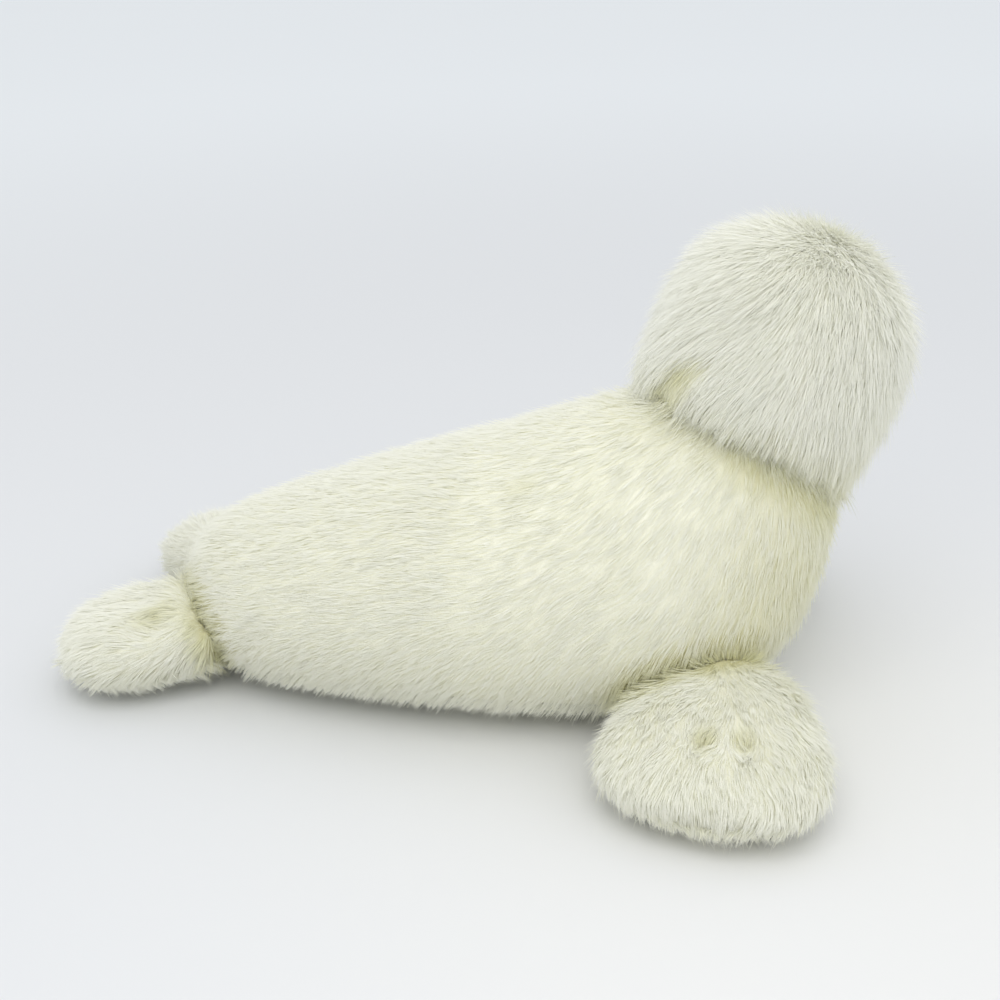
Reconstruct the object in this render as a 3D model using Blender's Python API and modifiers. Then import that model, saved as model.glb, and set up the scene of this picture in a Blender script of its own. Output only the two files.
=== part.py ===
"""A stuffed plush seal pup that lies on its belly, with its head raised and turned to its left.

Units are metres. +X runs from tail to chest, +Y to the seal's left, +Z up. The origin lies on the flat
patch of belly that the seal rests on. The outsides are those of the brushed pile, not of its backing.
"""

import math

import bmesh
import bpy
from mathutils import Matrix, Vector

# Body: a spine that runs level from the rump, then bends up into the neck.
RUMP_X = -0.165
RUMP_HEIGHT = 0.049
SPINE_HEIGHT = 0.0645
SPINE_LEVEL_LENGTH = 0.1734
NECK_BEND_RADIUS = 0.1455
NECK_LEAN = math.radians(63.0)
NECK_STUMP_LENGTH = 0.030
BODY_HALF_WIDTH = 0.091
BELLY_DEPTH = 0.100
BACK_HEIGHT = 0.094
# Share of the spine's length, then of the half-width, of the belly's depth and of the back's height.
BODY_SECTIONS = (
    (0.000, 0.20, 0.16, 0.16),
    (0.030, 0.50, 0.43, 0.35),
    (0.120, 0.76, 0.63, 0.48),
    (0.250, 0.91, 0.70, 0.60),
    (0.400, 1.01, 0.74, 0.75),
    (0.540, 1.01, 0.84, 0.87),
    (0.660, 0.97, 1.03, 0.89),
    (0.762, 0.86, 1.04, 0.86),
    (0.840, 0.72, 0.83, 0.76),
    (0.915, 0.61, 0.63, 0.64),
    (1.000, 0.40, 0.38, 0.42),
)

# Head: a ball on the neck, whose long pile hangs over the neck's own. Its line leans to the seal's left.
HEAD_LEAN_FORWARD = math.radians(24.5)
HEAD_LEAN_LEFT = math.radians(26.0)
HEAD_TURN = math.radians(70.0)
HEAD_HALF_WIDTH = 0.0662
HEAD_HALF_DEPTH = 0.0688
HEAD_HEIGHT = 0.122
HEAD_SET_BACK = 0.003
HEAD_SECTIONS = (
    (0.00, 0.85),
    (0.09, 0.95),
    (0.24, 1.00),
    (0.43, 1.01),
    (0.62, 0.98),
    (0.79, 0.84),
    (0.92, 0.56),
    (0.99, 0.27),
    (1.00, 0.10),
)
HEAD_MIDDLE = 0.058
MUZZLE_LENGTH = 0.019
MUZZLE_TIP_SPREAD = math.radians(9.0)
MUZZLE_ROOT_SPREAD = math.radians(46.0)
MUZZLE_RAISE = math.radians(6.0)

# Flippers: share of the length, then of the half-width and of the half-thickness.
FRONT_FLIPPER_LENGTH = 0.116
FRONT_FLIPPER_HALF_WIDTH = 0.061
FRONT_FLIPPER_HALF_THICKNESS = 0.027
FRONT_FLIPPER_ROOT = (0.1445, 0.045, 0.031)
FRONT_FLIPPER_SWEEP = math.radians(9.0)
FRONT_FLIPPER_DROOP = math.radians(4.0)
FRONT_FLIPPER_SECTIONS = (
    (0.00, 0.56, 0.90),
    (0.24, 0.76, 1.02),
    (0.52, 1.00, 1.03),
    (0.80, 1.00, 0.88),
    (0.97, 0.66, 0.52),
    (1.00, 0.26, 0.24),
)
HIND_FLIPPER_LENGTH = 0.104
HIND_FLIPPER_HALF_WIDTH = 0.0415
HIND_FLIPPER_HALF_THICKNESS = 0.0250
HIND_FLIPPER_ROOT = (-0.128, 0.023, 0.038)
HIND_FLIPPER_SPLAY = math.radians(32.5)
HIND_FLIPPER_DROOP = math.radians(9.0)
TAIL_SWING = math.radians(16.5)
HIND_FLIPPER_SECTIONS = (
    (0.00, 0.62, 0.92),
    (0.28, 0.80, 1.01),
    (0.56, 1.00, 1.01),
    (0.82, 0.95, 0.82),
    (0.97, 0.58, 0.48),
    (1.00, 0.24, 0.22),
)
# Short stitched dimples on top, where the cloth is caught down between the toes.
TOE_DIMPLE_DEPTH = 0.008
TOE_DIMPLE_HALF_WIDTH = 0.006
TOE_DIMPLE_HALF_LENGTH = 0.016
FRONT_TOE_DIMPLE_AT = 0.63
FRONT_TOE_DIMPLE_SPACING = 0.022
HIND_TOE_DIMPLE_AT = 0.50

# Safety eyes and nose: a dome, a stem through the cloth and a washer pressed on inside.
EYE_RADIUS = 0.0085
EYE_HEIGHT = 0.0055
EYE_SIDE_ANGLE = math.radians(37.0)
EYE_RAISE = math.radians(22.0)
NOSE_RADIUS = 0.0070
NOSE_WIDEN = 1.35
NOSE_HEIGHT = 0.0055
DOME_SINK = 0.0030
STEM_RADIUS = 0.0020
STEM_LENGTH = 0.0140
WASHER_RADIUS = 0.0075
WASHER_THICKNESS = 0.0016
WASHER_DEPTH = 0.0080
MOUTH_THREAD_RADIUS = 0.0009
MOUTH_HALF_WIDTH = 0.0130
MOUTH_DROP = 0.0045

SEAM_GAP = 0.0004
BODY_SIDES = 10
HEAD_SIDES = 8
FLIPPER_SIDES = 6
FIXING_SIDES = 12
DOME_STEPS = 4
MOUTH_STEPS = 14
MOUTH_SIDES = 6
SMOOTH_LEVELS = 2
BLOCK_SIZE = 1.0

PILE_CREAM = (0.86, 0.86, 0.76)
PLASTIC_BLACK = (0.012, 0.011, 0.010)
WASHER_WHITE = (0.75, 0.75, 0.72)
THREAD_BLACK = (0.03, 0.027, 0.025)


def clear_scene():
    for old in list(bpy.data.objects):
        bpy.data.objects.remove(old, do_unlink=True)


def new_collection(name):
    made = bpy.data.collections.new(name)
    bpy.context.scene.collection.children.link(made)
    return made


def new_material(name, colour, roughness):
    made = bpy.data.materials.new(name)
    made.use_nodes = True
    shader = made.node_tree.nodes["Principled BSDF"]
    shader.inputs["Base Color"].default_value = (*colour, 1.0)
    shader.inputs["Roughness"].default_value = roughness
    shader.inputs["Metallic"].default_value = 0.0
    return made


def new_object(name, mesh, collection, material=None):
    made = bpy.data.objects.new(name, mesh)
    collection.objects.link(made)
    if material:
        mesh.materials.clear()
        mesh.materials.append(material)
    return made


def mesh_from(bm, name):
    mesh = bpy.data.meshes.new(name)
    bmesh.ops.recalc_face_normals(bm, faces=bm.faces)
    bm.to_mesh(mesh)
    bm.free()
    mesh.shade_smooth()
    return mesh


def evaluated_mesh(obj):
    """The object's mesh with its modifiers applied."""
    bpy.context.view_layer.update()
    graph = bpy.context.evaluated_depsgraph_get()
    return bpy.data.meshes.new_from_object(obj.evaluated_get(graph))


def loft(rings, sides):
    """A closed surface through the rings, each a function that places a point of a unit circle."""
    bm = bmesh.new()
    loops = []
    for place in rings:
        verts = bmesh.ops.create_circle(bm, segments=sides, radius=1.0)["verts"]
        for vert in verts:
            vert.co = place(vert.co.x, vert.co.y)
        loops.append((verts, [edge for edge in bm.edges if set(edge.verts) <= set(verts)]))
    for (_, lower), (_, upper) in zip(loops, loops[1:]):
        bmesh.ops.bridge_loops(bm, edges=lower + upper)
    for verts, _ in (loops[0], loops[-1]):
        bmesh.ops.contextual_create(bm, geom=verts)
    return bm


def smooth_form(name, rings, sides):
    """The smooth closed surface that a cage of rings gives, as a mesh."""
    cage = new_object(name + "_cage", mesh_from(loft(rings, sides), name + "_cage"), cutters)
    smooth = cage.modifiers.new("Smooth", "SUBSURF")
    smooth.levels = smooth.render_levels = SMOOTH_LEVELS
    mesh = evaluated_mesh(cage)
    bpy.data.objects.remove(cage)
    return mesh


def ring_growth(sides):
    """How much larger a ring of the cage is drawn, because its smooth form lies inside it."""
    return 6.0 / (4.0 + 2.0 * math.cos(2.0 * math.pi / sides))


def ease(low, high, value):
    """0 below low and 1 above high, with a smooth rise between them."""
    share = min(1.0, max(0.0, (value - low) / (high - low)))
    return share * share * (3.0 - 2.0 * share)


def spine_frame(along):
    """The point of the spine at this distance from the rump, and its direction's rise above level."""
    level = min(along, SPINE_LEVEL_LENGTH)
    height = RUMP_HEIGHT + (SPINE_HEIGHT - RUMP_HEIGHT) * ease(0.0, SPINE_LEVEL_LENGTH, level)
    bend_length = NECK_BEND_RADIUS * NECK_LEAN
    turned = min(max(along - SPINE_LEVEL_LENGTH, 0.0), bend_length) / NECK_BEND_RADIUS
    beyond = max(along - SPINE_LEVEL_LENGTH - bend_length, 0.0)
    x = RUMP_X + level + NECK_BEND_RADIUS * math.sin(turned) + beyond * math.cos(turned)
    z = height + NECK_BEND_RADIUS * (1.0 - math.cos(turned)) + beyond * math.sin(turned)
    return Vector((x, 0.0, z)), turned


SPINE_LENGTH = SPINE_LEVEL_LENGTH + NECK_BEND_RADIUS * NECK_LEAN + NECK_STUMP_LENGTH


def body_ring(along, width, belly, back):
    centre, rise = spine_frame(along * SPINE_LENGTH)
    across = Vector((0.0, 1.0, 0.0))
    upward = Vector((-math.sin(rise), 0.0, math.cos(rise)))

    def place(x, y):
        depth = back * BACK_HEIGHT if y > 0.0 else belly * BELLY_DEPTH
        side = x * width * BODY_HALF_WIDTH
        return centre + (across * side + upward * y * depth) * ring_growth(BODY_SIDES)

    return place


def head_matrix():
    """A frame on the neck seam: its Z runs up through the head and its X towards the face."""
    centre, _ = spine_frame(SPINE_LENGTH - NECK_STUMP_LENGTH)
    up = Vector((math.tan(HEAD_LEAN_FORWARD), math.tan(HEAD_LEAN_LEFT), 1.0)).normalized()
    lean = Vector((0.0, 0.0, 1.0)).rotation_difference(up).to_matrix().to_4x4()
    return Matrix.Translation(centre) @ lean @ Matrix.Rotation(HEAD_TURN, 4, "Z")


def head_ring(height, girth):
    set_back = Matrix.Rotation(-HEAD_TURN, 3, "Z") @ Vector((HEAD_SET_BACK, 0.0, 0.0))

    def place(x, y):
        return Vector((
            x * girth * HEAD_HALF_DEPTH * ring_growth(HEAD_SIDES),
            y * girth * HEAD_HALF_WIDTH * ring_growth(HEAD_SIDES),
            height * HEAD_HEIGHT,
        )) - set_back

    return place


def face_direction(side_angle, raise_angle):
    """A direction out of the middle of the head, in the head's own frame."""
    return Vector((
        math.cos(raise_angle) * math.cos(side_angle),
        math.cos(raise_angle) * math.sin(side_angle),
        math.sin(raise_angle),
    ))


def draw_out_muzzle(mesh):
    """Moves the front of the head outwards, most of all along the muzzle's own line."""
    middle = Vector((0.0, 0.0, HEAD_MIDDLE))
    ahead = face_direction(0.0, MUZZLE_RAISE)
    for vert in mesh.vertices:
        off_line = (vert.co - middle).angle(ahead)
        share = 1.0 - ease(MUZZLE_TIP_SPREAD, MUZZLE_ROOT_SPREAD, off_line)
        vert.co += ahead * MUZZLE_LENGTH * share


def flipper_ring(along, width, thickness, length, half_width, half_thickness):
    def place(x, y):
        return Vector((
            along * length,
            x * width * half_width * ring_growth(FLIPPER_SIDES),
            y * thickness * half_thickness * ring_growth(FLIPPER_SIDES),
        ))

    return place


def press_toe_dimple(mesh, along, aside):
    """A short dimple in the top of a flipper, where a stitch runs right through it."""
    for vert in mesh.vertices:
        across = (vert.co.y - aside) / TOE_DIMPLE_HALF_WIDTH
        lengthwise = (vert.co.x - along) / TOE_DIMPLE_HALF_LENGTH
        if vert.normal.z > 0.0:
            vert.co.z -= TOE_DIMPLE_DEPTH * math.exp(-across * across - lengthwise * lengthwise)


def flipper_mesh(name, sections, length, half_width, half_thickness, dimple_at, dimple_sides):
    rings = [flipper_ring(*section, length, half_width, half_thickness) for section in sections]
    mesh = smooth_form(name, rings, FLIPPER_SIDES)
    for side in dimple_sides:
        press_toe_dimple(mesh, dimple_at * length, side)
    return mesh


def cut_away(target, cutter):
    cut = target.modifiers.new("Cut", "BOOLEAN")
    cut.operation = "DIFFERENCE"
    cut.object = cutter


def as_cutter(obj):
    obj.hide_render = True
    obj.display_type = "WIRE"
    return obj


def grown_cutter(source, name):
    """A copy of a finished piece, grown by the seam's gap, that shapes what is sewn onto it."""
    cutter = as_cutter(new_object(name, evaluated_mesh(source), cutters))
    cutter.matrix_world = source.matrix_world
    grow = cutter.modifiers.new("Grow", "DISPLACE")
    grow.mid_level = 0.0
    grow.strength = SEAM_GAP
    return cutter


def floor_block():
    """Everything below the surface that the seal lies on."""
    bm = bmesh.new()
    shift = Matrix.Translation((0.0, 0.0, -BLOCK_SIZE / 2.0))
    bmesh.ops.create_cube(bm, size=BLOCK_SIZE, matrix=shift)
    return as_cutter(new_object("floor_block", mesh_from(bm, "floor_block"), cutters))


def turned(name, profile, place, widen=1.0, closed=False):
    """A form spun from points given as radius and distance out of the cloth. Its dome can be widened."""
    bm = bmesh.new()
    verts = [bm.verts.new((radius, 0.0, out)) for radius, out in profile]
    edges = [bm.edges.new(pair) for pair in zip(verts, verts[1:])]
    if closed:
        edges.append(bm.edges.new((verts[-1], verts[0])))
    bmesh.ops.spin(
        bm,
        geom=verts + edges,
        axis=(0.0, 0.0, 1.0),
        cent=(0.0, 0.0, 0.0),
        angle=2.0 * math.pi,
        steps=FIXING_SIDES,
        use_merge=True,
    )
    bmesh.ops.remove_doubles(bm, verts=bm.verts, dist=SEAM_GAP / 10.0)
    widest_stem = STEM_RADIUS + 2.0 * SEAM_GAP
    lowest_dome = -DOME_SINK - 2.0 * SEAM_GAP
    dome = [vert for vert in bm.verts if vert.co.z > lowest_dome and vert.co.xy.length > widest_stem]
    bmesh.ops.scale(bm, vec=(widen, 1.0, 1.0), verts=dome)
    bmesh.ops.transform(bm, matrix=place, verts=bm.verts)
    return mesh_from(bm, name)


def dome_profile(radius, height, growth):
    profile = [(0.0, height + growth)]
    for step in range(1, DOME_STEPS + 1):
        angle = math.pi / 2.0 * step / DOME_STEPS
        profile.append(((radius + growth) * math.sin(angle), (height + growth) * math.cos(angle)))
    profile.append((radius + growth, -DOME_SINK - growth))
    return profile


def add_fixing(name, place, radius, height, widen, plastic, white):
    """A domed plastic piece with its stem and washer. Returns the room that they take in the head."""
    washer_top = -DOME_SINK - WASHER_DEPTH
    washer_bottom = washer_top - WASHER_THICKNESS
    stem_end = -DOME_SINK - STEM_LENGTH
    bore = STEM_RADIUS + SEAM_GAP
    pocket = WASHER_RADIUS + SEAM_GAP

    profile = dome_profile(radius, height, 0.0)
    profile += [(STEM_RADIUS, -DOME_SINK), (STEM_RADIUS, stem_end), (0.0, stem_end)]
    new_object(name, turned(name, profile, place, widen), parts, plastic)

    washer = name + "_washer"
    profile = (
        (bore, washer_top),
        (WASHER_RADIUS, washer_top),
        (WASHER_RADIUS, washer_bottom),
        (bore, washer_bottom),
    )
    new_object(washer, turned(washer, profile, place, closed=True), parts, white)

    profile = dome_profile(radius, height, SEAM_GAP)
    profile += [
        (bore, -DOME_SINK - SEAM_GAP),
        (bore, washer_top + SEAM_GAP),
        (pocket, washer_top + SEAM_GAP),
        (pocket, washer_bottom - SEAM_GAP),
        (bore, washer_bottom - SEAM_GAP),
        (bore, stem_end - SEAM_GAP),
        (0.0, stem_end - SEAM_GAP),
    ]
    return turned(name + "_room", profile, place, widen)


def joined(name, meshes):
    bm = bmesh.new()
    for mesh in meshes:
        bm.from_mesh(mesh)
    return mesh_from(bm, name)


def seat_on(host, start, direction):
    """A frame where a ray from inside the host meets its outside: Z points out of the cloth."""
    bpy.context.view_layer.update()
    inward = host.matrix_world.inverted()
    _, hit, normal, _ = host.ray_cast(inward @ start, inward.to_3x3() @ direction)
    out = (host.matrix_world.to_3x3() @ normal).normalized()
    across = head_matrix().to_3x3().col[2].cross(out).normalized()
    turn = Matrix((across, out.cross(across), out)).transposed().to_4x4()
    return Matrix.Translation(host.matrix_world @ hit) @ turn


def add_mouth(host, nose_place, material):
    """One stitched line under the nose, laid on the muzzle in two shallow loops."""
    lift = MOUTH_THREAD_RADIUS + SEAM_GAP
    path = []
    for step in range(MOUTH_STEPS + 1):
        share = 2.0 * step / MOUTH_STEPS - 1.0
        dip = MOUTH_DROP * math.sin(math.pi * share) ** 2
        below = -NOSE_RADIUS - 2.0 * lift - dip
        probe = nose_place @ Vector((MOUTH_HALF_WIDTH * share, below, 0.0))
        _, spot, normal, _ = host.closest_point_on_mesh(host.matrix_world.inverted() @ probe)
        path.append((host.matrix_world @ (spot + normal * lift), host.matrix_world.to_3x3() @ normal))
    rings = []
    for index, (point, normal) in enumerate(path):
        ahead = path[min(index + 1, MOUTH_STEPS)][0] - path[max(index - 1, 0)][0]
        across = ahead.cross(normal).normalized() * MOUTH_THREAD_RADIUS
        out = across.cross(ahead).normalized() * MOUTH_THREAD_RADIUS
        rings.append(lambda x, y, p=point, a=across, o=out: p + a * x + o * y)
    return new_object("mouth_thread", mesh_from(loft(rings, MOUTH_SIDES), "mouth_thread"), parts, material)


def add_body(material, floor):
    mesh = smooth_form("body", [body_ring(*section) for section in BODY_SECTIONS], BODY_SIDES)
    body = new_object("body", mesh, parts, material)
    cut_away(body, floor)
    return body


def add_head(material):
    mesh = smooth_form("head", [head_ring(*section) for section in HEAD_SECTIONS], HEAD_SIDES)
    draw_out_muzzle(mesh)
    head = new_object("head", mesh, parts, material)
    head.matrix_world = head_matrix()
    return head


def add_face(head, black, white, thread):
    middle = head_matrix() @ Vector((0.0, 0.0, HEAD_MIDDLE))
    turn = head_matrix().to_3x3()
    nose = seat_on(head, middle, turn @ face_direction(0.0, MUZZLE_RAISE))
    left = seat_on(head, middle, turn @ face_direction(EYE_SIDE_ANGLE, EYE_RAISE))
    right = seat_on(head, middle, turn @ face_direction(-EYE_SIDE_ANGLE, EYE_RAISE))
    add_mouth(head, nose, thread)
    rooms = [
        add_fixing("eye_left", left, EYE_RADIUS, EYE_HEIGHT, 1.0, black, white),
        add_fixing("eye_right", right, EYE_RADIUS, EYE_HEIGHT, 1.0, black, white),
        add_fixing("nose", nose, NOSE_RADIUS, NOSE_HEIGHT, NOSE_WIDEN, black, white),
    ]
    cut_away(head, as_cutter(new_object("face_room", joined("face_room", rooms), cutters)))


def add_flippers(pair, mesh, root, droop, headings, material, rooms):
    """A left flipper and a right one, each shaped to the body that it is sewn to."""
    for side, label, heading in ((1.0, "left", headings[0]), (-1.0, "right", headings[1])):
        flipper = new_object(f"{pair}_{label}", mesh.copy(), parts, material)
        turn = Matrix.Rotation(side * heading, 4, "Z") @ Matrix.Rotation(droop, 4, "Y")
        flipper.matrix_world = Matrix.Translation((root[0], side * root[1], root[2])) @ turn
        for room in rooms:
            cut_away(flipper, room)


def build():
    cream = new_material("cream_pile", PILE_CREAM, 0.95)
    black = new_material("black_plastic", PLASTIC_BLACK, 0.12)
    white = new_material("white_nylon", WASHER_WHITE, 0.45)
    thread = new_material("black_thread", THREAD_BLACK, 0.8)

    floor = floor_block()
    body = add_body(cream, floor)
    body_room = grown_cutter(body, "body_room")
    head = add_head(cream)
    add_face(head, black, white, thread)
    cut_away(head, body_room)

    front = flipper_mesh(
        "front_flipper",
        FRONT_FLIPPER_SECTIONS,
        FRONT_FLIPPER_LENGTH,
        FRONT_FLIPPER_HALF_WIDTH,
        FRONT_FLIPPER_HALF_THICKNESS,
        FRONT_TOE_DIMPLE_AT,
        (-FRONT_TOE_DIMPLE_SPACING / 2.0, FRONT_TOE_DIMPLE_SPACING / 2.0),
    )
    front_heading = math.pi / 2.0 + FRONT_FLIPPER_SWEEP
    add_flippers(
        "front_flipper",
        front,
        FRONT_FLIPPER_ROOT,
        FRONT_FLIPPER_DROOP,
        (front_heading, front_heading),
        cream,
        (floor, body_room),
    )
    hind = flipper_mesh(
        "hind_flipper",
        HIND_FLIPPER_SECTIONS,
        HIND_FLIPPER_LENGTH,
        HIND_FLIPPER_HALF_WIDTH,
        HIND_FLIPPER_HALF_THICKNESS,
        HIND_TOE_DIMPLE_AT,
        (0.0,),
    )
    add_flippers(
        "hind_flipper",
        hind,
        HIND_FLIPPER_ROOT,
        HIND_FLIPPER_DROOP,
        (math.pi - HIND_FLIPPER_SPLAY - TAIL_SWING, math.pi - HIND_FLIPPER_SPLAY + TAIL_SWING),
        cream,
        (floor, body_room),
    )


clear_scene()
parts = new_collection("plush_seal")
cutters = new_collection("cutters")
build()
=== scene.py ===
"""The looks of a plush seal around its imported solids. Lengths are in metres, in the solids' own frame.

Each stuffed piece is a cloth that lies inside its solid, with pile rooted in it whose tips reach the
solid's outside. The pile is combed as on the real toy: from the head towards the tail, and down from the
head's crown.
"""

import math

import bmesh
import bpy
import numpy as np
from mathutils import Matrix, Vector, noise
from mathutils.bvhtree import BVHTree
from mathutils.kdtree import KDTree


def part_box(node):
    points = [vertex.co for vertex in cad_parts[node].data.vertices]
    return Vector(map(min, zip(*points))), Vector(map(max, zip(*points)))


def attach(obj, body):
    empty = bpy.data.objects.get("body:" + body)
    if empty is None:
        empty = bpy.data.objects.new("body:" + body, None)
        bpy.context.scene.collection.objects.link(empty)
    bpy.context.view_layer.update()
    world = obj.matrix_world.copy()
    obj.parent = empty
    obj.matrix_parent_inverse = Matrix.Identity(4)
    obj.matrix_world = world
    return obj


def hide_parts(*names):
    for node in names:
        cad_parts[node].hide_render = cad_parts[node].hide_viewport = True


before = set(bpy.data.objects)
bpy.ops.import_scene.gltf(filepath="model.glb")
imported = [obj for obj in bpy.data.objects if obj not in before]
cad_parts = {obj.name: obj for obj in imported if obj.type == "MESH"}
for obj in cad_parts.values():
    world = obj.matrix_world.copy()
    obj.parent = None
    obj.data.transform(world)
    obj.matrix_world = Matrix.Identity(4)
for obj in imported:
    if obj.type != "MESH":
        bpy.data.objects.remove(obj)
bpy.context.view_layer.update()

# The camera stands where the photographer's did.
CAMERA_AZIMUTH = math.radians(8.0)
CAMERA_ELEVATION = math.radians(25.0)
CAMERA_LENS = 55.0
CAMERA_SENSOR = 36.0
CAMERA_TARGET = Vector((0.012, 0.0, 0.105))
CAMERA_DISTANCE = 0.83

# The spine, which the body's pile follows from the neck to the tail.
SPINE_BEND_X = 0.0084
SPINE_BEND_CENTRE_Z = 0.210
NECK_LEAN = math.radians(63)

DOWN = np.array((0.0, 0.0, -1.0))
TAILWARD = np.array((-1.0, 0.0, 0.0))
MERGE_DISTANCE = 1e-5
FLOOR_CLEARANCE = 0.0004


# Vectors


def unit(v):
    return v / np.maximum(np.linalg.norm(v, axis=-1, keepdims=True), 1e-12)


def dot(a, b):
    return (a * b).sum(-1, keepdims=True)


def ease(low, high, x):
    """0 below low, 1 above high, and a smooth step between them."""
    t = np.clip((x - low) / (high - low), 0, 1)
    return t * t * (3 - 2 * t)


def along_surface(v, normals):
    return unit(v - dot(v, normals) * normals)


def wander(points, scale, seed):
    """Smooth noise about 0 at each point, whose lumps are about scale across."""
    shift = Vector((seed * 17.3, seed * 5.1, seed * 9.7))
    return np.array([noise.noise(Vector(p) / scale + shift) for p in points])


def closeness(points, spot, reach):
    """1 at the spot, and 0 from reach on."""
    return 1 - ease(0, reach, np.linalg.norm(points - np.array(spot), axis=-1))


# Meshes


def new_object(name, data):
    obj = bpy.data.objects.new(name, data)
    bpy.context.scene.collection.objects.link(obj)
    return obj


def copy_of(node, name):
    """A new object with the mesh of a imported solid, its doubles merged."""
    obj = new_object(name, bpy.data.meshes.new(node))
    bm = bmesh.new()
    bm.from_mesh(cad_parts[node].data)
    bmesh.ops.remove_doubles(bm, verts=bm.verts, dist=MERGE_DISTANCE)
    bm.to_mesh(obj.data)
    bm.free()
    return obj


def painted(mesh, material):
    mesh.materials.clear()
    mesh.materials.append(material)


def tree_of(mesh):
    return BVHTree.FromPolygons([v.co for v in mesh.vertices], [tuple(p.vertices) for p in mesh.polygons])


def points_of(mesh):
    co = np.zeros(len(mesh.vertices) * 3, np.float32)
    mesh.vertices.foreach_get("co", co)
    return co.reshape(-1, 3).astype(float)


def normals_of(mesh):
    return np.array([v.normal for v in mesh.vertices], float).reshape(-1, 3)


def applied(obj):
    """Gives obj the mesh that its modifiers make, and takes the modifiers off."""
    made = bpy.data.meshes.new_from_object(obj.evaluated_get(bpy.context.evaluated_depsgraph_get()))
    obj.modifiers.clear()
    obj.data = made
    made.name = obj.name
    return obj


solid_tree = {name: tree_of(node.data) for name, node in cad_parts.items()}


def gap_to(tree, points):
    """How far each point is outside a solid, below 0 inside it, and the solid's normal nearest to it."""
    gaps, facings = [], []
    for p in points:
        place, facing, _, away = tree.find_nearest(Vector(p))
        # Beside a sharp rim the normal can't tell inside from outside, so only straight in counts as inside.
        gaps.append(-away if (Vector(p) - place).dot(facing) < -0.9 * away else away)
        facings.append(facing)
    return np.array(gaps), np.array(facings, float)


# Cloth

CLOTH_CELL = 0.005
SEAM_CLEARANCE = 0.001
PILE_DEPTH = {"body": 0.0024, "head": 0.0034, "front_flipper": 0.0032, "hind_flipper": 0.0028}
CRUSHED_DEPTH = 0.0025
FACE_DEPTH = 0.0035
FACE_REACH = 0.034
PARTING_DEPTH = 0.0015
PARTING = np.array(((0.091, -0.014, 0.178), (0.121, -0.038, 0.209)))
PARTING_HALF_WIDTH = 0.013
PARTING_NARROWING = 0.006

# Above the floor the belly's rim tucks in, towards a line between these two places.
BELLY_REAR_X, BELLY_FRONT_X = -0.10, 0.09
BELLY_TUCK = 0.020
BELLY_TUCK_SHARE = 0.4


def kind_of(node):
    return node.replace("_left", "").replace("_right", "")


FACE_NODES = ("eye_left", "eye_right", "nose", "mouth_thread")
FACE_SPOTS = [(np.array(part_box(n)[0]) + np.array(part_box(n)[1])) / 2 for n in FACE_NODES]


def bareness(points):
    """1 beside the eyes, the nose and the mouth, where the pile is clipped short, and 0 away from them."""
    return np.max([closeness(points, spot, FACE_REACH) for spot in FACE_SPOTS], axis=0)


def crush_at(points, normals):
    """1 where the seal's weight presses the pile on the floor."""
    return ease(0.014, 0.003, points[:, 2]) * ease(0.1, 0.7, -normals[:, 2])


def parting_at(points):
    """1 along the parting at the back of the head, which narrows away from the hem, and the way out of it."""
    start, end = PARTING
    line = end - start
    share = np.clip((points - start) @ line / (line @ line), 0, 1)
    off = points - (start + share[:, None] * line)
    distance = np.linalg.norm(off, axis=1)
    return 1 - ease(0.2, 1.0, distance / (PARTING_HALF_WIDTH - PARTING_NARROWING * share)), off


# Where thread draws the flippers' cloth in, as on the left side. The right side mirrors them.
FRONT_STITCHES = ((0.1277, 0.1276, 0.046), (0.1471, 0.1239, 0.044))
HIND_STITCHES = {"right": ((-0.1735, 0.0570, 0.0540),), "left": ((-0.1640, 0.0650, 0.0540),)}
FRONT_STITCH_REACH = 0.0095
HIND_STITCH_REACH = 0.016
STITCH_DEPTH = 0.0050


def mirrored(points, side):
    return [(x, y * side, z) for x, y, z in points]


def side_of(node):
    return 1 if node.endswith("left") else -1


def stitches_of(node):
    """A flipper's stitches, and how far around each one the cloth is drawn in."""
    side, side_name = side_of(node), node.rsplit("_", 1)[-1]
    if node.startswith("front_flipper"):
        return mirrored(FRONT_STITCHES, side), FRONT_STITCH_REACH
    return mirrored(HIND_STITCHES[side_name], side), HIND_STITCH_REACH


# The simulation of the filling
PRESSURE = 4.0
SWELL = 0.0015
SWELL_SHARE = 0.6
SWELL_FRAMES = 20
SEAM_REACH = 0.008
FIXING_REACH = 0.011


def held_at(node, points):
    """1 where a seam, a stitch, the floor or a fixing of the face holds the cloth against its filling."""
    held = [ease(0.008, 0.004, points[:, 2])]
    if node != "body":
        held.append(1 - ease(0.5 * SEAM_REACH, SEAM_REACH, np.abs(gap_to(solid_tree["body"], points)[0])))
    if "flipper" in node:
        stitches, reach = stitches_of(node)
        held += [closeness(points, spot, reach) for spot in stitches]
    if node == "head":
        held += [closeness(points, spot, FIXING_REACH) for spot in FACE_SPOTS]
    return np.clip(1.5 * np.max(held, axis=0), 0, 1)


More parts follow.
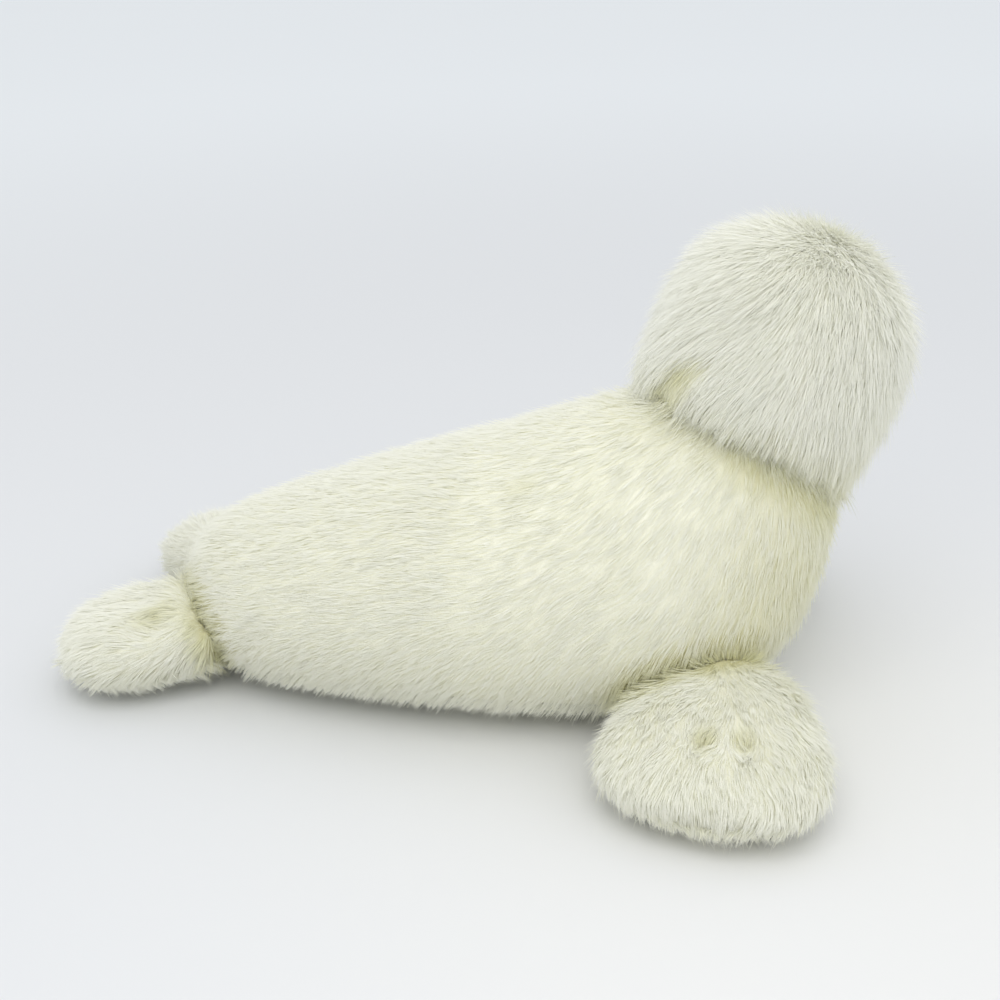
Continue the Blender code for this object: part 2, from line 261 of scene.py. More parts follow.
def stuff(cloths):
    """Simulates each cloth as its filling presses it outwards from a slightly smaller shape."""
    for node, obj in cloths.items():
        group = obj.vertex_groups.new(name="held")
        for i, share in enumerate(held_at(node, points_of(obj.data))):
            group.add([i], float(share), "REPLACE")
        cloth = obj.modifiers.new("stuffed", "CLOTH").settings
        cloth.vertex_group_mass = "held"
        cloth.use_pressure = True
        cloth.uniform_pressure_force = PRESSURE
        cloth.effector_weights.gravity = 0
    for frame_number in range(1, SWELL_FRAMES + 1):
        bpy.context.scene.frame_set(frame_number)
    for obj in cloths.values():
        start = points_of(obj.data)
        applied(obj)
        obj.vertex_groups.clear()
        move = points_of(obj.data) - start
        move *= np.minimum(1, SWELL / np.maximum(np.linalg.norm(move, axis=1), 1e-9))[:, None]
        obj.data.vertices.foreach_set("co", np.round(start + move, 5).astype(np.float32).ravel())
        obj.data.update()
    bpy.context.scene.frame_set(1)


def cloth_of(node):
    """The cloth of one stuffed piece: its solid's surface in even quads, let in to the roots of the pile."""
    obj = copy_of(node, node + "_cloth")
    remesh = obj.modifiers.new("even quads", "REMESH")
    remesh.mode = "VOXEL"
    remesh.voxel_size = CLOTH_CELL
    relax = obj.modifiers.new("relaxed", "SMOOTH")
    relax.iterations = 3
    applied(obj)
    points, normals = points_of(obj.data), normals_of(obj.data)
    depth = np.full(len(points), PILE_DEPTH[kind_of(node)] + SWELL_SHARE * SWELL)
    crush = crush_at(points, normals)
    depth += crush * (CRUSHED_DEPTH - depth)
    if node == "head":
        depth += bareness(points) * (FACE_DEPTH - depth)
        depth += PARTING_DEPTH * parting_at(points)[0]
    if "flipper" in node:
        stitches, reach = stitches_of(node)
        depth += STITCH_DEPTH * np.max([closeness(points, spot, reach) for spot in stitches], axis=0)
    if node == "body":
        points -= depth[:, None] * normals
        # The belly tucks in above the floor, under the fringe.
        middle = np.stack([np.clip(points[:, 0], BELLY_REAR_X, BELLY_FRONT_X), 0 * points[:, 1]], 1)
        away = points[:, :2] - middle
        reach = np.linalg.norm(away, axis=1)
        tuck = np.minimum(BELLY_TUCK * ease(0.022, 0.006, points[:, 2]), BELLY_TUCK_SHARE * reach)
        points[:, :2] -= unit(away) * tuck[:, None]
    else:
        # Beside the body the cloth closes up to the body's own cloth, which it is sewn to.
        gaps, facings = gap_to(solid_tree["body"], points)
        near = 1 - ease(SEAM_CLEARANCE, 0.016, gaps)[:, None]
        inward = -facings
        sideways = normals - near * dot(normals, inward) * inward
        points += near * inward * (PILE_DEPTH["body"] - SEAM_CLEARANCE) - depth[:, None] * sideways
    obj.data.vertices.foreach_set("co", points.astype(np.float32).ravel())
    obj.data.update()
    return obj


# Pile

# How long the pile is, and how far from upright it leans, in degrees.
BODY_LENGTH, HEAD_LENGTH, FLIPPER_LENGTH, FACE_LENGTH = 0.0105, 0.0180, 0.0120, 0.006
BODY_LEAN, HEAD_LEAN, FLIPPER_LEAN, CRUSHED_LEAN, STEEPEST_LEAN, FLATTEST_LEAN = 79, 81, 77, 84, 15, 87

# How far from another piece the pile stands up or gets painted shade.
HEM_REACH = 0.030
BODY_CREASE_REACH = 0.016
FLIPPER_CREASE_REACH = 0.010
# Up how far the painted shade in a flipper's fold fades out, and how high the belly's fringe hangs above
# the floor.
FOLD_FADE = 0.016
FRINGE_CLEARANCE = 0.0100

# The pile of the head lies away from its crown, and ever more downwards from the head's top to its hem.
CROWN = np.array((0.190, 0.084, 0.230))
CROWN_REACH = 0.030
HEAD_TOP, HEAD_HEM = 0.235, 0.165

# Spots of painted yellow shade in the pile, on the back and at the flippers' stitches, where the cloth is
# also drawn in: how far each reaches, and how deep its painted shade is.
BACK_PAINTED_SPOT = np.array((0.029, -0.050, 0.137))
BACK_PAINTED_SPOT_REACH = 0.011
BACK_PAINTED_SPOT_SHADE = 0.6
STITCH_PAINTED_SHADE = 1.9


def beside(points, solids, reach):
    """1 in the creases against other solids, and 0 from reach on."""
    away = np.min([np.abs(gap_to(solid_tree[n], points)[0]) for n in solids], axis=0)
    return 1 - ease(0.3 * reach, reach, away)


def body_pile(points, normals):
    """How the pile lies at each point of the body's cloth: from the neck to the tail, and down the sides."""
    x, z = points[:, 0], points[:, 2]
    angle = np.clip(np.arctan2(x - SPINE_BEND_X, np.maximum(SPINE_BEND_CENTRE_Z - z, 1e-6)), 0, NECK_LEAN)
    tailward = -np.stack([np.cos(angle), 0 * angle, np.sin(angle)], 1)
    low = ease(0.3, -0.6, normals[:, 2])
    fringe = ease(0.034, 0.012, z) * ease(-0.98, -0.80, normals[:, 2])
    crease = beside(points, FLIPPER_NODES, BODY_CREASE_REACH)
    neck = beside(points, ["head"], HEM_REACH)
    under_chin = ease(0.105, 0.165, x) * ease(0.02, 0.08, z) * ease(0.6, -0.2, normals[:, 2])
    upright = np.maximum(fringe, np.maximum(neck, crease))
    neck_painted_shade = (0.15 + 0.6 * ease(0.115, 0.145, x)) * neck
    return {
        "comb": tailward + DOWN * (0.12 + 0.50 * low + 0.4 * fringe)[:, None],
        "length": BODY_LENGTH * (1 + 0.16 * wander(points, 0.02, 1)) * (1 + 0.25 * fringe),
        "lean": BODY_LEAN + 1.2 * wander(points, 0.025, 2) - 14 * upright,
        "droop": 0.10 + 0.30 * low + 0.3 * fringe,
        "swirl": 0.25 * wander(points, 0.045, 3) + 0.16 * wander(points, 0.014, 4),
        "tousle": 0 * low,
        "gather": 0.20 + 0.35 * fringe + 0.25 * crease,
        "floor": FRINGE_CLEARANCE * fringe,
        # Painted shade, yellow olive: some all over, more on undersides, in flipper creases, under the head
        # and chin.
        "painted_shade": np.clip(0.12 + 0.12 * low + 0.9 * crease + neck_painted_shade + 0.45 * under_chin, 0, 1),
    }


def head_pile(points, normals):
    """How the pile lies at each point of the head's cloth: back from the face, and down to the hem."""
    outward = points - CROWN
    low = ease(HEAD_TOP, HEAD_HEM, points[:, 2])
    hem = beside(points, ["body"], HEM_REACH)
    back = ease(0.19, 0.11, points[:, 0]) * ease(0.06, 0.0, points[:, 1]) * ease(0.5, -0.1, normals[:, 0])
    comb = unit(outward) + DOWN * (0.15 + 0.65 * low)[:, None] + TAILWARD * (back * (1 - 0.7 * hem))[:, None]
    parted, off = parting_at(points)
    comb = along_surface(comb, normals) + unit(off) * parted[:, None] * 0.4
    whorl = closeness(points, CROWN, CROWN_REACH)
    bare = bareness(points)
    ragged = 1 + hem * (0.1 + 0.35 * wander(points, 0.009, 13))
    length = HEAD_LENGTH * (1 + 0.12 * wander(points, 0.02, 5)) * (1 - 0.25 * parted) * ragged
    length += bare * (FACE_LENGTH - length)
    return {
        "comb": comb,
        "length": length,
        "lean": HEAD_LEAN + 2 * wander(points, 0.025, 6) - 3 * hem - 4 * whorl,
        "droop": (0.15 + 0.55 * hem) * (1 - bare),
        "swirl": 0.16 * wander(points, 0.04, 7) + 0.10 * wander(points, 0.013, 8) + 0.8 * whorl,
        "tousle": 0.32 * ease(0.70, 0.92, normals[:, 2]),
        "gather": 0.10 + 0.17 * hem,
        "floor": 0 * hem,
        # Painted shade, yellow olive: in the parting, by the hem and on the underside.
        "painted_shade": np.clip(parted + 0.25 * hem + 0.25 * ease(0.3, -0.6, normals[:, 2]), 0, 1),
    }


def flipper_pile(points, normals, root, tip, stitches, reach, fold_top):
    """How the pile lies at each point of a flipper's cloth: from root to tip, and in to the stitches."""
    comb = np.array(tip) - np.array(root) + 0 * points
    comb = unit(comb) * 0.7 + unit(points - np.array(root)) * 0.7
    low = ease(0.3, -0.6, normals[:, 2])
    comb = comb + DOWN * (0.1 + 0.5 * low)[:, None]
    # Underneath it is combed inwards, so that it doesn't stick out below the flipper's rim.
    comb = comb * (1 - 1.6 * ease(-0.4, -0.8, normals[:, 2]))[:, None]
    held = np.zeros(len(points))
    for spot in stitches:
        near = closeness(points, spot, 1.6 * reach)
        comb = comb + unit(np.array(spot) - points) * near[:, None] * 1.8
        held = np.maximum(held, closeness(points, spot, reach))
    crease = beside(points, ["body"], FLIPPER_CREASE_REACH)
    fold = crease * ease(fold_top + FOLD_FADE, fold_top, points[:, 2])
    return {
        "comb": comb,
        "length": FLIPPER_LENGTH * (1 + 0.16 * wander(points, 0.018, 9)) * (1 - 0.3 * held),
        "lean": FLIPPER_LEAN + 3 * wander(points, 0.02, 10) - 6 * low - 8 * crease,
        "droop": 0.12 + 0.40 * low,
        "swirl": 0.40 * wander(points, 0.03, 11) + 0.35 * wander(points, 0.012, 12),
        "tousle": 0 * low,
        "gather": 0.25 + 0.2 * low,
        "floor": 0 * low,
        # Painted shade, yellow olive: a little over the whole flipper, more on the underside and in the fold
        # at the root.
        "painted_shade": np.clip(0.06 + 0.20 * low + 0.9 * fold, 0, 1),
    }


# A fibre is widest at its crook, where its sides drop below its ridge.
FIBRE_CROOK = 0.42
FIBRE_WIDTH = 0.00038
FIBRE_DROP = 0.00022
LOCK_FIBRES = 9
SINK, DEEPEST = 0.003, 0.03
# Stray fibres stand up by this many degrees, and are longer and thinner than the rest.
STRAY_SHARE = 0.20
STRAY_RISE = 16
STRAY_LONGER = 0.15
STRAY_THINNER = 0.55
SOFTNESS = 0.55


def fibre_shape():
    """One fibre of unit length and width: its corners, its faces, and which faces look outwards.

    It has a root, two sides at its crook, and a tip.
    """
    bm = bmesh.new()
    bmesh.ops.create_cone(bm, cap_ends=True, segments=3, radius1=0.5, radius2=0, depth=1)
    bmesh.ops.remove_doubles(bm, verts=bm.verts, dist=MERGE_DISTANCE)
    tip = max(bm.verts, key=lambda v: v.co.z)
    root, left, right = sorted((v for v in bm.verts if v is not tip), key=lambda v: abs(v.co.x))
    left, right = sorted((left, right), key=lambda v: v.co.x)
    # The sides lie a little below the line from root to tip, which is the ridge of the fibre.
    root.co = (0, 0, 0)
    left.co = (-0.5, -0.4, FIBRE_CROOK)
    right.co = (0.5, -0.4, FIBRE_CROOK)
    tip.co = (0, 0, 1)
    bmesh.ops.recalc_face_normals(bm, faces=bm.faces)
    bm.verts.index_update()
    corners = np.array([v.co for v in bm.verts], float)
    faces = np.array([[v.index for v in f.verts] for f in bm.faces])
    facing = np.array([f.normal.y > 0 for f in bm.faces])
    bm.free()
    return corners, faces, facing


FIBRE_CORNERS, FIBRE_FACES, FIBRE_OUTER = fibre_shape()


def planted(cloth, fields, count, density, rng):
    """Roots spread over the cloth by its area times density, with every field's value at each."""
    mesh = cloth.data
    mesh.calc_loop_triangles()
    triangles = np.zeros(len(mesh.loop_triangles) * 3, np.int32)
    mesh.loop_triangles.foreach_get("vertices", triangles)
    triangles = triangles.reshape(-1, 3)
    points, normals = points_of(mesh), normals_of(mesh)
    a, b, c = (points[triangles[:, i]] for i in range(3))
    weight = np.linalg.norm(np.cross(b - a, c - a), axis=1) * density[triangles].mean(1)
    chosen = triangles[rng.choice(len(triangles), count, p=weight / weight.sum())]
    u, v = rng.random((2, count))
    u, v = np.where(u + v > 1, 1 - u, u), np.where(u + v > 1, 1 - v, v)
    shares = np.stack([1 - u - v, u, v], 1)
    found = {"root": points, "normal": normals, **fields}
    return {k: np.einsum("ij,ij...->i...", shares, value[chosen]) for k, value in found.items()}


def turned_about(v, axis, angle):
    """Each v turned about its unit axis."""
    c, s = np.cos(angle)[:, None], np.sin(angle)[:, None]
    return v * c + np.cross(axis, v) * s + axis * dot(axis, v) * (1 - c)


def kept_out(points, trees, sink):
    """Points that lie deeper than sink in a neighbour, brought out to that depth."""
    points = points.copy()
    for tree in trees:
        gaps, facings = gap_to(tree, points)
        deep = (gaps < -sink) & (gaps > -DEEPEST)
        points[deep] += facings[deep] * (-sink - gaps[deep])[:, None]
    return points


def grow_pile(name, cloth, fields, count, density, neighbours, painted_shade_spots, seed):
    """The pile on one cloth, as one mesh of fibres that lean and gather into locks.

    Own is a chance value of each fibre, and shared one of each lock.
    """
    rng = np.random.default_rng(seed)
    at = planted(cloth, fields, count, density, rng)
    root, normal = at["root"], unit(at["normal"])
    locks = KDTree(count // LOCK_FIBRES)
    for i in range(count // LOCK_FIBRES):
        locks.insert(Vector(root[i]), i)
    locks.balance()
    lock = np.array([locks.find(Vector(p))[1] for p in root])
    own, shared = rng.normal(size=(2, 4, count)), rng.normal(size=(4, count))[:, lock]
    comb = along_surface(at["comb"], normal)
    at_random = 0.11 * own[0, 0] + 0.09 * shared[0] + at["tousle"] * own[1, 3]
    comb = turned_about(comb, normal, at["swirl"] * 1.3 + at_random)
    stray = rng.random(count) < STRAY_SHARE
    lean = at["lean"] + 2.5 * own[0, 1] + 1.5 * shared[1] - STRAY_RISE * stray
    lean = np.radians(np.clip(lean, STEEPEST_LEAN, FLATTEST_LEAN))[:, None]
    length = at["length"] * np.clip(1 + 0.10 * own[0, 2] + 0.07 * shared[2], 0.5, 1.4)
    length = (length * (1 + STRAY_LONGER * stray))[:, None]
    # Fur sags along the cloth where the cloth faces up, and hangs free of it where it faces down.
    droop = at["droop"][:, None] * (DOWN - np.minimum(dot(normal, DOWN), 0) * normal)
    way = unit(np.cos(lean) * normal + np.sin(lean) * comb + droop)
    tip = root + way * length
    pull = np.clip(at["gather"] + 0.15 * own[0, 3], 0, 0.9)[:, None]
    tip += (tip[lock] - tip) * pull
    tip = kept_out(tip, neighbours, SINK)
    tip[:, 2] = np.maximum(tip[:, 2], at["floor"])
    line = tip - root
    across = turned_about(unit(np.cross(line, normal)), unit(line), 0.20 * own[1, 0])
    upward = unit(np.cross(line, across))
    upward *= np.where(dot(upward, normal) < 0, -1, 1)
    across = unit(np.cross(upward, line))
    crook = root + line * FIBRE_CROOK - upward * FIBRE_DROP
    width = (FIBRE_WIDTH * np.clip(1 + 0.25 * own[1, 1], 0.5, 1.7) * (1 - STRAY_THINNER * stray))[:, None]
    x, _, z = FIBRE_CORNERS.T
    ends = {0.0: root, 1.0: tip}
    places = np.stack([ends[h] if h in ends else crook + width * a * across for a, h in zip(x, z)], 1)
    places[:, :, 2] = np.maximum(places[:, :, 2], FLOOR_CLEARANCE)
    mesh = mesh_of(name, places)
    tone = np.tile(z, count).astype(np.float32)
    tint = np.repeat(own[1, 2] * 0.5 + shared[3] * 0.5, len(x)).astype(np.float32)
    painted_shade = np.repeat(at["painted_shade"], len(x)).reshape(count, -1)
    # Painted shade around each spot, by where each corner of a fibre ends up.
    for spot, reach, depth in painted_shade_spots:
        painted_shade = np.clip(painted_shade + depth * closeness(places, spot, reach), 0, 1)
    painted_shade = painted_shade.ravel().astype(np.float32)
    for label, values in (("tone", tone), ("tint", tint), ("painted_shade", painted_shade)):
        mesh.attributes.new(label, "FLOAT", "POINT").data.foreach_set("value", values)
    # A fibre is lit partly as the coat is that it lies in, which is how a dense pile looks.
    a, b, c = (places[:, FIBRE_FACES[:, i]] for i in range(3))
    facing = unit(np.cross(b - a, c - a))
    lit = np.where(FIBRE_OUTER[:, None], SOFTNESS, 0)
    soft = unit(lit * normal[:, None] + (1 - lit) * facing)
    mesh.normals_split_custom_set(np.repeat(soft, 3, axis=1).reshape(-1, 3).astype(np.float32))
    mesh.materials.append(pile_material)
    return new_object(name, mesh)


def mesh_of(name, places):
    """A mesh of many fibres: places holds the corners of each."""
    count, corners = places.shape[:2]
    mesh = bpy.data.meshes.new(name)
    mesh.vertices.add(count * corners)
    mesh.vertices.foreach_set("co", places.astype(np.float32).ravel())
    loops = (FIBRE_FACES[None] + corners * np.arange(count)[:, None, None]).reshape(-1)
    mesh.loops.add(len(loops))
    mesh.loops.foreach_set("vertex_index", loops.astype(np.int32))
    mesh.polygons.add(len(loops) // 3)
    mesh.polygons.foreach_set("loop_start", np.arange(0, len(loops), 3, dtype=np.int32))
    mesh.polygons.foreach_set("use_smooth", np.ones(len(loops) // 3, bool))
    mesh.update(calc_edges=True)
    # Each fibre has its own cell of the map, and the rows run tip to tip and root to root.
    columns = math.ceil(math.sqrt(count * 2))
    rows = math.ceil(count / columns)
    cell = np.arange(count)
    column, row = cell % columns, cell // columns
    x, _, z = FIBRE_CORNERS[FIBRE_FACES].transpose(2, 0, 1)
    across = np.where(FIBRE_OUTER, 0.25, 0.75)[:, None] + x * 0.4
    rise = 0.08 + 0.84 * z
    v = np.where((row % 2)[:, None, None] == 1, 1 - rise[None], rise[None])
    uv = np.stack([(column[:, None, None] + across[None]) / columns, (row[:, None, None] + v) / rows], -1)
    mesh.uv_layers.new(name="OFBake").data.foreach_set("uv", uv.astype(np.float32).ravel())
    return mesh


# Materials


class Wire:
    """A socket's value, which arithmetic can be written with."""

    def __init__(self, paint, socket):
        self.paint, self.socket = paint, socket

    def _with(self, operation, first, second):
        return self.paint.node("ShaderNodeMath", {"operation": operation}, [first, second])

    def __add__(self, other):
        return self._with("ADD", self, other)

    def __rsub__(self, other):
        return self._with("SUBTRACT", other, self)

    def __mul__(self, other):
        return self._with("MULTIPLY", self, other)

    __radd__, __rmul__ = __add__, __mul__


class Nodes:
    """The node tree of a material or of the sky, and its last shader."""

    def __init__(self, owner, shader):
        owner.use_nodes = True
        self.tree = owner.node_tree
        self.shader = self.tree.nodes[shader]

    def node(self, kind, settings, values, output=0):
        """A node with its settings, and its sockets given values or wires by place or by name."""
        made = self.tree.nodes.new(kind)
        for name, value in settings.items():
            setattr(made, name, value)
        pairs = values.items() if isinstance(values, dict) else enumerate(values)
        for key, value in pairs:
            if isinstance(value, Wire):
                self.tree.links.new(value.socket, made.inputs[key])
            else:
                made.inputs[key].default_value = value
        return Wire(self, made.outputs[output])

    def feed(self, socket, wire):
        self.tree.links.new(wire.socket, self.shader.inputs[socket])

    def blend(self, share, first, second):
        """A colour between two."""
        mixed = {"Factor": share, 6: first, 7: second}
        return self.node("ShaderNodeMix", {"data_type": "RGBA", "clamp_factor": True}, mixed, 2)


class Paint(Nodes):
    """One material with a Principled shader."""

    def __init__(self, name, **plain):
        self.material = bpy.data.materials.new(name)
        super().__init__(self.material, "Principled BSDF")
        for socket, value in plain.items():
            self.shader.inputs[socket.replace("_", " ")].default_value = value

    def place(self):
        return self.node("ShaderNodeTexCoord", {}, {}, "Object")

    def attribute(self, name):
        return self.node("ShaderNodeAttribute", {"attribute_name": name}, {}, "Fac")

    def noise(self, scale, detail=2.0, place=None):
        values = {"Vector": place or self.place(), "Scale": scale, "Detail": detail}
        return self.node("ShaderNodeTexNoise", {}, values, "Fac")

    def step(self, value, low, high):
        """0 below low, 1 above high, and a smooth step between them."""
        settings = {"interpolation_type": "SMOOTHSTEP"}
        return self.node("ShaderNodeMapRange", settings, [value, low, high, 0.0, 1.0])

    def bump(self, height, depth, strength=0.5):
        values = {"Height": height, "Distance": depth, "Strength": strength}
        self.feed("Normal", self.node("ShaderNodeBump", {}, values))


def rgb(r, g, b):
    return (r, g, b, 1.0)


def pile_paint():
    """Polyester pile: cream at the tips, and painted shade of a yellowish olive down at the roots and
    wherever a fibre carries painted shade.
    """
    paint = Paint("cream_pile", Roughness=0.8, Specular_IOR_Level=0.2)
    tone = paint.attribute("tone")
    tint = paint.attribute("tint")
    painted_shade = paint.attribute("painted_shade")
    # Painted shade: a fibre goes towards the olive colour down to its root, and further where its painted
    # shade is high.
    fade = (tone * 0.2 + 0.8) * (1 - painted_shade * 0.85)
    plain = paint.blend(fade, rgb(0.78, 0.765, 0.49), rgb(0.955, 0.955, 0.88))
    light = paint.blend(tint * 0.5 + 0.5, plain, rgb(0.968, 0.968, 0.905))
    paint.feed("Base Color", paint.blend(0.35, plain, light))
    return paint.material


def cloth_paint():
    """The knitted backing that the pile is rooted in, with the same painted shade as its pile."""
    paint = Paint("pile_backing", Roughness=0.9, Specular_IOR_Level=0.1)
    mottle = paint.blend(paint.noise(60.0, 3.0), rgb(0.94, 0.93, 0.80), rgb(0.955, 0.95, 0.84))
    # Painted shade: the backing goes yellow olive where its painted shade attribute is high.
    paint.feed("Base Color", paint.blend(paint.attribute("painted_shade") * 0.9, mottle, rgb(0.72, 0.69, 0.42)))
    loops = paint.node("ShaderNodeTexVoronoi", {}, {"Vector": paint.place(), "Scale": 900.0}, "Distance")
    paint.bump(loops, 0.0004, 0.6)
    return paint.material


def plastic_paint(name, colour, worn, roughness, gloss):
    """Moulded plastic with faint handling marks."""
    paint = Paint(name, Specular_IOR_Level=gloss)
    haze = paint.noise(120.0, 4.0)
    paint.feed("Base Color", paint.blend(haze, colour, worn))
    paint.feed("Roughness", haze * 0.12 + roughness)
    paint.bump(paint.noise(400.0, 2.0), 0.00003, 0.3)
    return paint.material


def thread_paint():
    """Twisted cotton thread."""
    paint = Paint("black_thread", Roughness=0.85, Sheen_Weight=0.3)
    values = {"Vector": paint.place(), "Scale": 500.0}
    ply = paint.node("ShaderNodeTexWave", {"bands_direction": "DIAGONAL"}, values, "Fac")
    paint.feed("Base Color", paint.blend(ply, rgb(0.012, 0.010, 0.009), rgb(0.050, 0.045, 0.042)))
    paint.bump(ply, 0.0003, 0.8)
    return paint.material


PAINTED_LIGHT_CENTRE = (0.30, -0.20, 0.0)


def floor_paint():
    """Matt photographer's paper, its colour painted with light: lightest in front of the seal, darker around
    it, and lighter and cooler far behind.
    """
    paint = Paint("studio_paper", Roughness=0.95, Specular_IOR_Level=0.1)
    place = paint.place()
    centred = paint.node("ShaderNodeVectorMath", {"operation": "SUBTRACT"}, [place, PAINTED_LIGHT_CENTRE])
    away = paint.node("ShaderNodeVectorMath", {"operation": "LENGTH"}, [centred], "Value")
    # Painted light: a pool of light in front of the seal that falls off around it, and lighter again far
    # behind.
    painted_light_sweep = paint.blend(paint.step(away, 0.12, 0.55), rgb(0.84, 0.84, 0.835), rgb(0.765, 0.775, 0.79))
    painted_light_sweep = paint.blend(paint.step(away, 0.8, 2.2), painted_light_sweep, rgb(0.865, 0.89, 0.91))
    grain = paint.noise(3.0, 3.0, place)
    paint.feed("Base Color", paint.blend(grain * 0.06, painted_light_sweep, rgb(0.80, 0.82, 0.84)))
    return paint.material


# The toy

pile_material = pile_paint()
cloth_material = cloth_paint()
black_plastic = plastic_paint("black_plastic", rgb(0.006, 0.005, 0.005), rgb(0.012, 0.011, 0.010), 0.06, 0.4)
white_nylon = plastic_paint("white_nylon", rgb(0.72, 0.72, 0.69), rgb(0.80, 0.80, 0.78), 0.45, 0.5)
black_thread = thread_paint()

FLIPPER_NODES = ("front_flipper_left", "front_flipper_right", "hind_flipper_left", "hind_flipper_right")

# How each stuffed piece's pile lies, where it is cut in two to stay under 200,000 triangles a piece, how many
# fibres each part has, and the pieces that it lies against.
STUFFED = {
    "body": (body_pile, 0.0, 43000, ("head", *FLIPPER_NODES)),
    "head": (head_pile, 0.152, 37000, ("body",)),
}

# Where the flippers are rooted on the left side, below which height the fold at the root gets painted
# shade, and how many fibres each has.
FLIPPER_ROOTS = {
    "front_flipper": ((0.14, 0.05, 0.03), 0.12, 24000),
    "hind_flipper": ((-0.135, 0.02, 0.035), 0.040, 14000),
}
FLIPPER_TIPS = {
    "front_flipper_left": (0.125, 0.155, 0.02),
    "front_flipper_right": (0.125, 0.155, 0.02),
    "hind_flipper_left": (-0.195, 0.105, 0.03),
    "hind_flipper_right": (-0.225, 0.065, 0.03),
}


def flipper_fields(node, root, fold_top):
    root, tip = mirrored((root, FLIPPER_TIPS[node]), side_of(node))
    return lambda points, normals: flipper_pile(points, normals, root, tip, *stitches_of(node), fold_top)


for node in FLIPPER_NODES:
    root, fold_top, count = FLIPPER_ROOTS[kind_of(node)]
    STUFFED[node] = (flipper_fields(node, root, fold_top), None, count, ("body",))


def open_at(node, points, normals, neighbours):
    """0 where a neighbour covers the cloth, and 1 elsewhere."""
    room = PILE_DEPTH[kind_of(node)] - SEAM_CLEARANCE
    free = np.ones(len(points))
    for i, (p, n) in enumerate(zip(points, normals)):
        for other in neighbours:
            if solid_tree[other].ray_cast(Vector(p), Vector(n), room)[0] is not None:
                free[i] = 0
    return free


def painted_shade_spots_of(node):
    """The spots of painted yellow shade in a piece's pile: each one's place, its reach and how deep its
    painted shade is.
    """
    if "flipper" in node:
        stitches, reach = stitches_of(node)
        return [(spot, reach, STITCH_PAINTED_SHADE) for spot in stitches]
    return [(BACK_PAINTED_SPOT, BACK_PAINTED_SPOT_REACH, BACK_PAINTED_SPOT_SHADE)] if node == "body" else []


def dressed(node, cloth, seed):
    """The cloth and the pile of one stuffed piece."""
    lie, cut, count, neighbours = STUFFED[node]
    painted(cloth.data, cloth_material)
    cloth.data.shade_smooth()
    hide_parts(node)
    points, normals = points_of(cloth.data), normals_of(cloth.data)
    fields = lie(points, normals)
    # The cloth carries the pile's painted shade too.
    painted_shade = cloth.data.attributes.new("painted_shade", "FLOAT", "POINT")
    painted_shade.data.foreach_set("value", fields["painted_shade"].astype(np.float32))
    # The belly's pile is pressed flat, and there is less of it.
    crush = crush_at(points, normals)
    fields["length"] = fields["length"] * (1 - 0.5 * crush)
    fields["lean"] = fields["lean"] + crush * (CRUSHED_LEAN - fields["lean"])
    density = open_at(node, points, normals, neighbours) * (1 - 0.55 * crush)
    if node == "head":
        density *= 1 + 0.3 * parting_at(points)[0] + 0.4 * ease(0.225, 0.245, points[:, 2])
    parts = {"_pile": np.ones(len(points))}
    if cut is not None:
        parts = {"_pile_rear": points[:, 0] < cut, "_pile_fore": points[:, 0] >= cut}
    trees = [solid_tree[other] for other in neighbours]
    piles = [
        grow_pile(node + label, cloth, fields, count, density * share, trees, painted_shade_spots_of(node), seed + part)
        for part, (label, share) in enumerate(parts.items())
    ]
    return [cloth, *piles]


FIRST_SEED = 11
cloths = {node: cloth_of(node) for node in STUFFED}
stuff(cloths)
for number, (node, cloth) in enumerate(cloths.items()):
    for piece in dressed(node, cloth, FIRST_SEED + 2 * number):
        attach(piece, "root")

for node in ("eye_left", "eye_right", "nose"):
    dome = copy_of(node, node + "_dome")
    smooth = dome.modifiers.new("smooth", "SUBSURF")
    smooth.levels = smooth.render_levels = 2
    applied(dome)
    dome.data.shade_smooth()
    painted(dome.data, black_plastic)
    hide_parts(node)
    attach(dome, "root")

for node, material in (
    ("eye_left_washer", white_nylon),
    ("eye_right_washer", white_nylon),
    ("nose_washer", white_nylon),
    ("mouth_thread", black_thread),
):
    painted(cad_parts[node].data, material)

# The studio

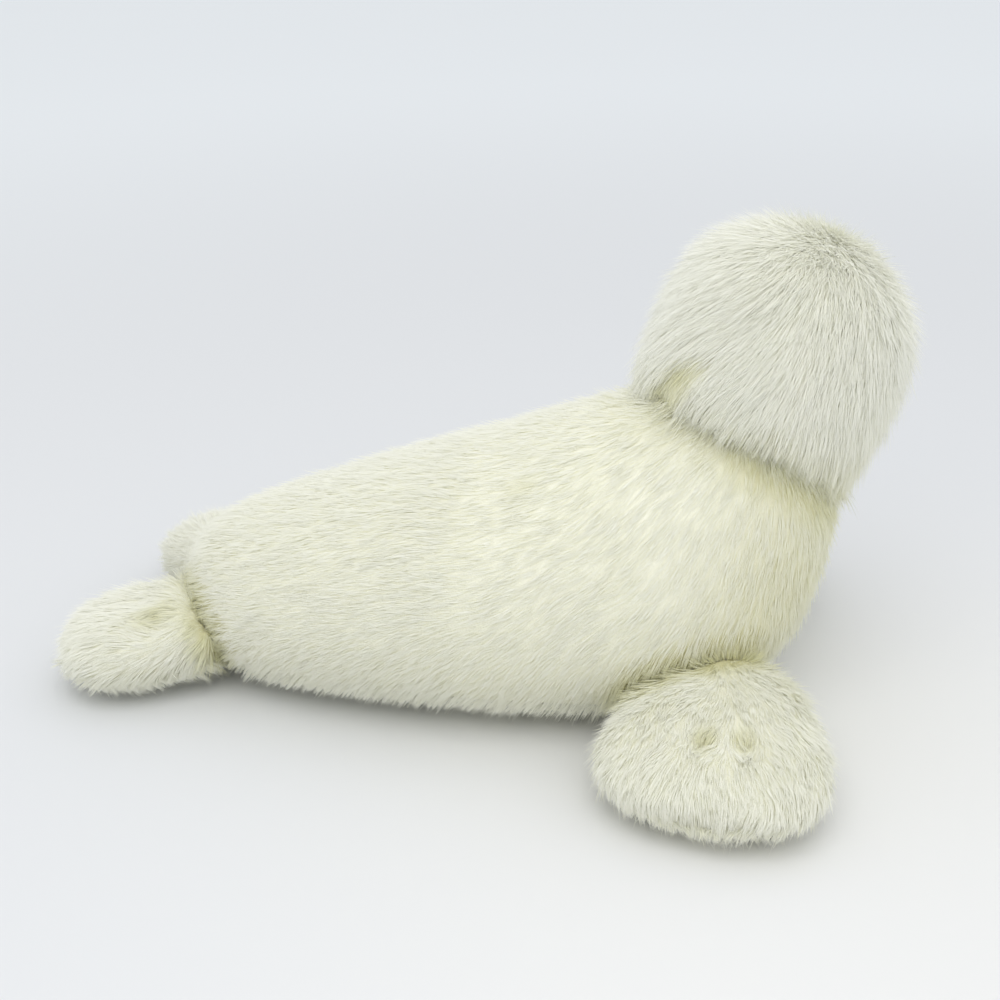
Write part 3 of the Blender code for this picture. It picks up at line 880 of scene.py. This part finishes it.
camera_data = bpy.data.cameras.new("camera")
camera_data.lens = CAMERA_LENS
camera_data.sensor_width = CAMERA_SENSOR
camera = new_object("camera", camera_data)
back = Vector((math.sin(CAMERA_AZIMUTH), -math.cos(CAMERA_AZIMUTH), 0)) * math.cos(CAMERA_ELEVATION)
back.z = math.sin(CAMERA_ELEVATION)
camera.location = CAMERA_TARGET + back * CAMERA_DISTANCE
camera.rotation_euler = (-back).to_track_quat("-Z", "Y").to_euler()
bpy.context.scene.camera = camera

FLOOR_RADIUS = 8.0
bm = bmesh.new()
bmesh.ops.create_circle(bm, cap_ends=True, segments=64, radius=FLOOR_RADIUS)
floor_mesh = bpy.data.meshes.new("studio_floor")
bm.to_mesh(floor_mesh)
bm.free()
floor_mesh.materials.append(floor_paint())
new_object("studio_floor", floor_mesh)


def soft_light(name, place, width, watts, colour):
    """A round soft box that faces the seal."""
    data = bpy.data.lights.new(name, "AREA")
    data.shape = "DISK"
    data.size = width
    data.energy = watts
    data.color = colour
    lamp = new_object(name, data)
    lamp.location = place
    lamp.rotation_euler = (CAMERA_TARGET - Vector(place)).to_track_quat("-Z", "Y").to_euler()


soft_light("key", (0.0, -0.75, 1.30), 1.2, 5.4, (1.0, 0.99, 0.97))


def studio_world():
    """Soft light from every side, most from above. The camera and any gloss see a pale wall instead."""
    world = bpy.data.worlds.new("studio")
    sky = Nodes(world, "Background")
    direction = sky.node("ShaderNodeTexCoord", {}, {}, "Generated")
    upward = (0.30, 0.0, 1.0)
    height = sky.node("ShaderNodeVectorMath", {"operation": "DOT_PRODUCT"}, [direction, upward], "Value")
    light = sky.blend(height, rgb(0.67, 0.685, 0.70), rgb(0.975, 0.99, 1.005))
    seen = sky.node("ShaderNodeLightPath", {}, {}, "Is Camera Ray")
    for kind in ("Is Glossy Ray", "Is Transmission Ray"):
        seen = seen + sky.node("ShaderNodeLightPath", {}, {}, kind)
    sky.feed("Color", sky.blend(seen, light, rgb(0.735, 0.775, 0.81)))
    return world


bpy.context.scene.world = studio_world()
bpy.context.scene.view_settings.view_transform = "Standard"
# White pile goes grey where the light between its fibres is cut off sooner.
bpy.context.scene.cycles.diffuse_bounces = 6
